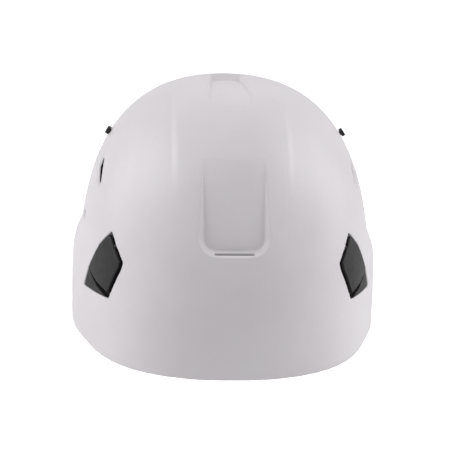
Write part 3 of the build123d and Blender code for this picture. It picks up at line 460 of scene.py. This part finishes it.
def moulded_skins():
    for side in ("right", "left"):
        for where in ("front", "rear"):
            clip = f"{where}_{side}"
            moulded_skin(f"clip_lever_{clip}", f"clip_{clip}", "clip", 0.35 * MM, 4)
        moulded_skin(f"shutter_knob_{side}", f"shutter_{side}", "black", 0.2 * MM, 3)
        moulded_skin(f"side_adjuster_{side}", f"side_straps_{side}", "buckle", 0.35 * MM, 3)
        moulded_skin(f"cam_lever_{side}", f"cam_{side}", "buckle", 0.3 * MM, 3)
        moulded_skin(f"adjuster_wheel_{side}", f"wheel_{side}", "black", 0.3 * MM, 2)
    moulded_skin("buckle_male", "chin_right", "buckle", 0.3 * MM, 2)
    moulded_skin("buckle_female", "chin_left", "buckle", 0.3 * MM, 2)


# ---- Webbing ----
def ribbon(name, path, across, width, thickness, body, replaced, rows=14):
    """A woven ribbon along a path, with rounded selvedges; across gives its width direction at each point."""
    path = [Vector(p) for p in path]
    ring = []
    for k in range(rows + 1):
        t = k / rows * 2 - 1
        ring.append((t, 1.0 - 0.55 * abs(t) ** 10))
    vertices, faces, lengths = [], [], [0.0]
    for a, b in zip(path, path[1:]):
        lengths.append(lengths[-1] + (b - a).length)
    loop = 2 * len(ring)
    uv = []
    for i, p in enumerate(path):
        ahead = path[min(i + 1, len(path) - 1)]
        behind = path[max(i - 1, 0)]
        tangent = (ahead - behind).normalized()
        side = Vector(across[i] if isinstance(across, list) else across)
        side = (side - tangent * side.dot(tangent)).normalized()
        up = side.cross(tangent)
        for sign in (1, -1):
            line = ring if sign > 0 else ring[::-1]
            for t, full in line:
                vertices.append(p + side * (t * width / 2) + up * (sign * full * thickness / 2))
                uv.append((lengths[i], t * width / 2))
    for i in range(len(path) - 1):
        for k in range(loop):
            a = i * loop + k
            b = i * loop + (k + 1) % loop
            faces.append((a, b, b + loop, a + loop))
    faces.append(tuple(range(loop))[::-1])
    last = (len(path) - 1) * loop
    faces.append(tuple(last + k for k in range(loop)))
    obj = new_object(name, vertices, faces, "webbing")
    layer = obj.data.uv_layers.new(name="strap")
    for corner in obj.data.loops:
        layer.data[corner.index].uv = uv[corner.vertex_index]
    if replaced:
        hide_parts(*replaced)
    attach(obj, body)
    return obj


def stitches(name, anchors, body, length=0.0022, radius=0.00022):
    """A run of raised thread stitches; anchors is a list of (point, direction, normal)."""
    vertices, faces = [], []
    for point, direction, normal in anchors:
        d = Vector(direction).normalized()
        n = Vector(normal).normalized()
        s = n.cross(d)
        start = len(vertices)
        steps = 6
        for i in range(steps + 1):
            t = i / steps
            centre = Vector(point) + d * (t - 0.5) * length + n * (math.sin(t * math.pi) * radius * 1.1)
            size = radius * (0.55 + 0.45 * math.sin(t * math.pi))
            for k in range(6):
                a = 2 * math.pi * k / 6
                vertices.append(centre + s * math.cos(a) * size + n * math.sin(a) * size)
        for i in range(steps):
            for k in range(6):
                a = start + i * 6 + k
                b = start + i * 6 + (k + 1) % 6
                faces.append((a, b, b + 6, a + 6))
        faces.append(tuple(start + k for k in range(6))[::-1])
        faces.append(tuple(start + steps * 6 + k for k in range(6)))
    obj = new_object(name, vertices, faces, "thread")
    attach(obj, body)
    return obj


# ---- Soft pads ----
def simulate_pad(obj, voxel, cap):
    """Swells a pad with the cloth solver, caps how far it moves, and rounds it."""
    remesh = obj.modifiers.new("remesh", "REMESH")
    remesh.mode = "VOXEL"
    remesh.voxel_size = voxel
    apply_modifiers(obj)
    before = coordinates(obj.data)
    cloth = obj.modifiers.new("cloth", "CLOTH")
    cloth.settings.use_pressure = True
    cloth.settings.uniform_pressure_force = PAD_PRESSURE
    cloth.settings.effector_weights.gravity = 0.0
    cloth.settings.quality = 5
    scene = bpy.context.scene
    cloth.point_cache.frame_start = 1
    cloth.point_cache.frame_end = PAD_FRAMES
    for step in range(1, PAD_FRAMES + 1):
        scene.frame_set(step)
    apply_modifiers(obj)
    scene.frame_set(1)
    moved = coordinates(obj.data) - before
    length = np.linalg.norm(moved, axis=1, keepdims=True)
    co = before + moved * np.minimum(1.0, cap / np.maximum(length, 1e-9))
    set_coordinates(obj.data, co)
    relax = obj.modifiers.new("relax", "SMOOTH")
    relax.factor = 0.5
    relax.iterations = 2
    subdivide = obj.modifiers.new("subdivide", "SUBSURF")
    subdivide.levels = 1
    subdivide.render_levels = 1
    apply_modifiers(obj)
    return obj


# ---- Stage, light, camera ----
def studio_white():
    """White paper that glows a little, and isn't seen from behind."""
    n = Nodes("studio_white")
    grain = n.remap(n.noise(3.0), 0.3, 0.7, 0.0, 1.0)
    n.set("Base Color", n.mix(grain, (0.88, 0.88, 0.88), (0.90, 0.90, 0.90)))
    n.set("Roughness", 0.9)
    n.set("Specular IOR Level", 0.1)
    n.set("Emission Color", (1, 1, 1, 1))
    seen = n.add("ShaderNodeLightPath").outputs["Is Camera Ray"]
    n.set("Emission Strength", n.math("MULTIPLY", seen, FLOOR_GLOW))
    clear = n.add("ShaderNodeBsdfTransparent")
    facing = n.add("ShaderNodeNewGeometry").outputs["Backfacing"]
    mix = n.add("ShaderNodeMixShader", Fac=facing)
    n.link(n.shader.outputs["BSDF"], mix.inputs[1])
    n.link(clear.outputs["BSDF"], mix.inputs[2])
    n.link(mix.outputs["Shader"], n.tree.nodes["Material Output"].inputs["Surface"])
    return n.material


def build_stage():
    """A pale floor that curves up behind the helmet, low enough for the straps to hang clear of it."""
    n = 24
    profile = [(-3.0, 0.0), (1.2, 0.0)]
    for k in range(1, n + 1):
        a = math.pi / 2 * k / n
        profile.append((1.2 + math.sin(a) * 1.0, 1.0 - math.cos(a) * 1.0))
    profile.append((2.2, 4.0))
    vertices = [(x, y, z + FLOOR_LEVEL) for y, z in profile for x in (-4.0, 4.0)]
    faces = [(2 * i, 2 * i + 1, 2 * i + 3, 2 * i + 2) for i in range(len(profile) - 1)]
    mesh = bpy.data.meshes.new("floor")
    mesh.from_pydata(vertices, [], faces)
    mesh.polygons.foreach_set("use_smooth", [True] * len(faces))
    floor = bpy.data.objects.new("floor", mesh)
    bpy.context.scene.collection.objects.link(floor)
    mesh.materials.append(studio_white())


def area_light(name, azimuth, elevation, distance, size, power):
    """A soft rectangular light on a sphere round the helmet; azimuth 0 is in front, 90 on its left."""
    if power <= 0:
        return
    a, e = math.radians(azimuth), math.radians(elevation)
    centre = Vector((0, 0, 0.08))
    back = Vector((math.sin(a) * math.cos(e), -math.cos(a) * math.cos(e), math.sin(e)))
    data = bpy.data.lights.new(name, "AREA")
    data.shape = "RECTANGLE"
    data.size, data.size_y = size
    data.energy = power
    light = bpy.data.objects.new(name, data)
    light.location = centre + back * distance
    light.rotation_euler = (-back).to_track_quat("-Z", "Y").to_euler()
    bpy.context.scene.collection.objects.link(light)


def build_lights():
    scene = bpy.context.scene
    scene.view_settings.view_transform = "Standard"
    world = bpy.data.worlds.new("studio")
    world.use_nodes = True
    tree = world.node_tree
    background = tree.nodes["Background"]
    background.inputs["Color"].default_value = (1, 1, 1, 1)
    seen = tree.nodes.new("ShaderNodeLightPath").outputs["Is Camera Ray"]
    strength = tree.nodes.new("ShaderNodeMapRange")
    strength.inputs["To Min"].default_value = SKY
    tree.links.new(seen, strength.inputs["Value"])
    tree.links.new(strength.outputs["Result"], background.inputs["Strength"])
    scene.world = world
    for name, (azimuth, elevation, distance, size, power) in LIGHTS.items():
        area_light(name, azimuth, elevation, distance, size, power)


def build_camera():
    a, e, r = (math.radians(v) for v in (CAMERA_AZIMUTH, CAMERA_ELEVATION, CAMERA_ROLL))
    back = Vector((math.sin(a) * math.cos(e), -math.cos(a) * math.cos(e), math.sin(e)))
    right = Vector((math.cos(a), math.sin(a), 0))
    up = back.cross(right)
    right, up = right * math.cos(r) + up * math.sin(r), up * math.cos(r) - right * math.sin(r)
    data = bpy.data.cameras.new("camera")
    data.lens = CAMERA_LENS
    data.sensor_width = 36
    data.shift_x, data.shift_y = CAMERA_SHIFT
    camera = bpy.data.objects.new("camera", data)
    matrix = Matrix((right, up, back)).transposed().to_4x4()
    matrix.translation = CAMERA_TARGET + back * CAMERA_DISTANCE
    camera.matrix_world = matrix
    bpy.context.scene.collection.objects.link(camera)
    bpy.context.scene.camera = camera


# ---- Webbing pieces ----
def arch_path(near, far, low, top):
    """The middle line of a crown arch, from one foot over the flat crown to the other."""
    turns = [math.pi / 2 * k / 22 for k in range(22, -1, -1)]
    def half(radius):
        reach = radius - CROWN_FLAT
        return [(CROWN_FLAT + reach * math.sin(t), low + (top - low) * math.cos(t)) for t in turns]
    rising = [(-r, z) for r, z in half(far)]
    flat = [(CROWN_FLAT * k / 4, top) for k in range(-3, 4)]
    return rising + flat + half(near)[::-1]


def crown_straps():
    """Three woven arches, each on the middle line of its CAD ribbon, with a bar tack at each foot."""
    for node in ("crown_strap_a", "crown_strap_middle", "crown_strap_b"):
        co = coordinates(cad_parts[node].data)
        flat = co[:, :2]
        far_point = flat[np.argmax(np.linalg.norm(flat, axis=1))]
        feet = co[co[:, 2] < co[:, 2].min() + 0.0005][:, :2]
        near = feet[feet @ far_point > 0].mean(0)
        far = feet[feet @ far_point < 0].mean(0)
        along = (near - far) / np.linalg.norm(near - far)
        across = Vector((-along[1], along[0], 0))
        line = arch_path(near @ along, -(far @ along), co[:, 2].min(), co[:, 2].max() - WEBBING / 2)
        points = [Vector((along[0] * r, along[1] * r, z)) for r, z in line]
        ribbon(f"{node}_webbing", points, across, 0.0178, 0.0013, "helmet", [node])
        rows = []
        for foot in (points[:9], points[:-10:-1]):
            for i in range(1, 8):
                tangent = (foot[i + 1] - foot[i]).normalized()
                inward = Vector((-foot[i].x, -foot[i].y, 0))
                normal = (inward - tangent * inward.dot(tangent)).normalized()
                seat = foot[i] + normal * STITCH_LIFT
                rows += [(seat + across * s, tangent, normal) for s in (-0.006, 0.006)]
                if i in (1, 7):
                    rows += [(seat + across * s, across, normal) for s in (-0.003, 0, 0.003)]
        stitches(f"{node}_stitches", rows, "helmet")


def wrap(centre, start, end, radius, steps=12):
    """Points round a bar in the x-z plane, from one angle to another in degrees."""
    angles = [math.radians(start + (end - start) * k / steps) for k in range(steps + 1)]
    return [(centre[0] + radius * math.cos(a), centre[1] + radius * math.sin(a)) for a in angles]


def eased(points, count):
    """A path resampled evenly along a smooth curve through its points."""
    points = [np.array(p, float) for p in points]
    fine = []
    for i in range(len(points) - 1):
        a = points[max(i - 1, 0)]
        b, c = points[i], points[i + 1]
        d = points[min(i + 2, len(points) - 1)]
        for k in range(8):
            t = k / 8
            square = (2 * a - 5 * b + 4 * c - d) * t**2
            cube = (3 * b - a - 3 * c + d) * t**3
            fine.append(0.5 * (2 * b + (c - a) * t + square + cube))
    fine.append(points[-1])
    fine = np.array(fine)
    length = np.concatenate([[0], np.cumsum(np.linalg.norm(np.diff(fine, axis=0), axis=1))])
    targets = np.linspace(0, length[-1], count)
    return [Vector([np.interp(t, length, fine[:, axis]) for axis in range(3)]) for t in targets]


def box_tack(centre, along, across, normal, size):
    """A sewn box with a cross, as stitch positions."""
    along, across = Vector(along).normalized(), Vector(across).normalized()
    half_u, half_v = size[0] / 2, size[1] / 2
    corners = [(-half_u, -half_v), (half_u, -half_v), (half_u, half_v), (-half_u, half_v)]
    lines = [(corners[i], corners[(i + 1) % 4]) for i in range(4)]
    lines += [(corners[0], corners[2]), (corners[1], corners[3])]
    rows = []
    for (u0, v0), (u1, v1) in lines:
        count = max(2, int(math.hypot(u1 - u0, v1 - v0) / 0.0026))
        direction = along * (u1 - u0) + across * (v1 - v0)
        for k in range(count):
            t = (k + 0.5) / count
            spot = along * (u0 + (u1 - u0) * t) + across * (v0 + (v1 - v0) * t)
            rows.append((Vector(centre) + spot, direction, normal))
    return rows


def side_straps():
    """Four straps, each looped round its rim anchor, sewn back on itself and led to the adjuster."""
    for side, sign in (("right", -1), ("left", 1)):
        for which, step in (("front", -1), ("rear", 1)):
            y0 = STRAP_Y + step * ANCHOR_SPREAD
            y1 = STRAP_Y + step * APEX_SPREAD

            def place(x, z):
                t = min(1.0, max(0.0, (SWING_X - 0.006 - x) / (SWING_X - 0.006 - ADJUSTER_EDGE)))
                return Vector((sign * x, y0 + (y1 - y0) * t, z))

            loop = wrap((SWING_X, SWING_Z), -90, 90, 0.00193)
            profile = [(SWING_X - 0.016, SWING_Z - 0.0013), (SWING_X - 0.009, SWING_Z - 0.0013)] + loop
            profile += [(SWING_X - 0.004, SWING_Z + 0.0014), (SWING_X - 0.009, SWING_Z + 0.0003)]
            profile += [(SWING_X - 0.015, SWING_Z), (SWING_X - 0.035, SWING_Z)]
            profile.append((ADJUSTER_EDGE + 0.0002, SWING_Z))
            points = eased([place(x, z) for x, z in profile], 72)
            node = f"{which}_strap_{side}"
            body = f"side_straps_{side}"
            ribbon(f"{node}_webbing", points, (0, 1, 0), 0.0128, 0.00125, body, [node])
            middle = place(SWING_X - 0.0125, SWING_Z + 0.00065)
            slant = place(SWING_X - 0.020, SWING_Z) - place(SWING_X - 0.008, SWING_Z)
            across = Vector((0, 0, 1)).cross(slant)
            tack = box_tack(middle, slant, across, (0, 0, 1), (0.0055, 0.0095))
            stitches(f"{node}_box_tack", tack, body)


def chin_straps():
    """Two chin straps, each looped round the adjuster's bar and through the slot of its buckle half."""
    for side, sign in (("right", -1), ("left", 1)):
        bar = (FOLD_X, FOLD_Z)
        profile = [(FOLD_X + 0.016, FOLD_Z - 0.0013), (FOLD_X + 0.008, FOLD_Z - 0.0014)]
        profile += wrap(bar, 270, 90, 0.00193)
        profile += [(FOLD_X + 0.004, FOLD_Z + 0.0014), (FOLD_X + 0.009, FOLD_Z + 0.0002)]
        profile.append((FOLD_X + 0.017, FOLD_Z))
        profile += [(0.0405, 0.0135), (0.0435, 0.0151), (0.0465, 0.01525), (0.0489, 0.0143)]
        profile += [(0.0493, 0.0120), (0.0489, 0.0099), (0.0465, 0.0088), (0.0435, 0.0090), (0.0395, 0.01065)]
        points = eased([Vector((sign * x, STRAP_Y, z)) for x, z in profile], 96)
        body = f"chin_{side}"
        ribbon(f"chin_strap_{side}_webbing", points, (0, 1, 0), 0.0178, 0.00125, body, [f"chin_strap_{side}"])
        middle = (sign * (FOLD_X + 0.0125), STRAP_Y, FOLD_Z + 0.00065)
        tack = box_tack(middle, (1, 0, 0), (0, 1, 0), (0, 0, 1), (0.0055, 0.0135))
        stitches(f"chin_strap_{side}_box_tack", tack, body)


# ---- Padded pieces ----
def tube(name, path, radius, body, material="fabric", sides=10, closed=False):
    """A round cord along a path, for piping."""
    path = [Vector(p) for p in path]
    count = len(path)
    vertices, faces = [], []
    for i, p in enumerate(path):
        ahead = path[(i + 1) % count] if closed else path[min(i + 1, count - 1)]
        behind = path[i - 1] if closed or i else path[0]
        tangent = (ahead - behind).normalized()
        side = tangent.cross(Vector((0, 0, 1))).normalized()
        up = side.cross(tangent)
        for k in range(sides):
            a = 2 * math.pi * k / sides
            vertices.append(p + side * math.cos(a) * radius + up * math.sin(a) * radius)
    for i in range(count if closed else count - 1):
        for k in range(sides):
            a, b = i * sides + k, i * sides + (k + 1) % sides
            c, d = ((i + 1) % count) * sides + (k + 1) % sides, ((i + 1) % count) * sides + k
            faces.append((a, b, c, d))
    if not closed:
        faces.append(tuple(range(sides))[::-1])
        faces.append(tuple((count - 1) * sides + k for k in range(sides)))
    obj = new_object(name, vertices, faces, material)
    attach(obj, body)
    return obj


def keep_inside_ellipse(co, half_x, half_y, centre_y):
    """Moves points that passed an upright elliptical wall back onto it."""
    reach = np.hypot(co[:, 0] / half_x, (co[:, 1] - centre_y) / half_y)
    back = np.where(reach > 1, 1 / np.maximum(reach, 1e-9), 1.0)
    co[:, 0] *= back
    co[:, 1] = centre_y + (co[:, 1] - centre_y) * back
    return co


def curved_pad(node, name, body, wall, end_y, channels):
    """A quilted pad on the inside of a band; wall is (half x, half y, centre y) of the band's inner face."""
    obj = copy_of(node, name)
    simulate_pad(obj, 0.0022, 0.0021)
    half_x, half_y, centre_y = wall
    co = keep_inside_ellipse(coordinates(obj.data), half_x, half_y, centre_y)
    low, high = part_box(node)
    middle_z = (low.z + high.z) / 2
    bearing = np.arctan2(co[:, 0] / half_x, (co[:, 1] - centre_y) / half_y * (-1 if end_y < centre_y else 1))
    span = bearing.max()
    spots = np.linspace(-span, span, channels + 2)[1:-1]
    gap = np.min(np.abs(bearing[:, None] - spots[None, :]), axis=1) * (half_x + half_y) / 2
    height = np.abs(co[:, 2] - middle_z) / (high.z - low.z) * 2
    groove = 0.0015 * np.exp(-((gap / 0.0016) ** 2)) * smooth_step((1.0 - height) / 0.35)
    reach = np.hypot(co[:, 0] / half_x, (co[:, 1] - centre_y) / half_y)
    front = smooth_step((0.985 - reach) / 0.02)
    push = 1 + groove * front / ((half_x + half_y) / 2)
    co[:, 0] *= push
    co[:, 1] = centre_y + (co[:, 1] - centre_y) * push
    set_coordinates(obj.data, co)
    finish_pad(obj, node, body)
    turn = -1 if end_y < centre_y else 1
    angles = np.linspace(-span * 0.985, span * 0.985, 90)
    for edge, z in (("upper", high.z - 0.0006), ("lower", low.z + 0.0006)):
        path = [
            (
                (half_x - 0.0042) * math.sin(a),
                centre_y + turn * (half_y - 0.0042) * math.cos(a),
                z,
            )
            for a in angles
        ]
        tube(f"{name}_{edge}_piping", path, 0.0009, body)


def finish_pad(obj, node, body):
    obj.data.polygons.foreach_set("use_smooth", [True] * len(obj.data.polygons))
    paint(obj, "fabric")
    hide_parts(node)
    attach(obj, body)


def crown_cushion():
    """The round crown pad, quilted in six sectors with piping round its rim."""
    obj = copy_of("crown_pad", "crown_cushion")
    simulate_pad(obj, 0.0030, 0.0028)
    co = coordinates(obj.data)
    radius = np.hypot(co[:, 0], co[:, 1])
    angle = np.arctan2(co[:, 1], co[:, 0])
    gap = np.abs(np.sin(3 * angle)) / 3 * radius
    ring = np.abs(radius - QUILT_RING)
    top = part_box("crown_pad")[1].z
    spokes = np.exp(-((gap / SEAM_WIDTH) ** 2)) * smooth_step((radius - 0.008) / 0.006)
    groove = np.maximum(spokes, np.exp(-((ring / SEAM_WIDTH) ** 2)))
    underside = smooth_step((-vertex_normals(obj.data)[:, 2] - 0.2) / 0.3)
    topside = smooth_step((vertex_normals(obj.data)[:, 2] - 0.2) / 0.3)
    edge = smooth_step((0.050 - radius) / 0.004)
    co[:, 2] += groove * SEAM_DEPTH * edge * (underside - 0.6 * topside)
    co[:, 2] = np.minimum(co[:, 2], top + 0.0002)
    set_coordinates(obj.data, co)
    finish_pad(obj, "crown_pad", "helmet")
    rim = co[radius > radius.max() - 0.0012]
    z = rim[:, 2].mean()
    turns = np.linspace(0, 2 * math.pi, 97)[:-1]
    path = [(math.cos(a) * radius.max(), math.sin(a) * radius.max(), z) for a in turns]
    tube("crown_cushion_piping", path, 0.0011, "helmet", closed=True)


def main():
    paint_frame()
    shell_skin()
    moulded_skins()
    crown_straps()
    side_straps()
    chin_straps()
    curved_pad("brow_pad", "brow_cushion", "helmet", BROW_WALL, -0.038, 7)
    curved_pad("nape_pad", "nape_cushion", "nape_cradle", NAPE_WALL, 0.090, 5)
    crown_cushion()
    build_stage()
    build_lights()
    build_camera()


main()
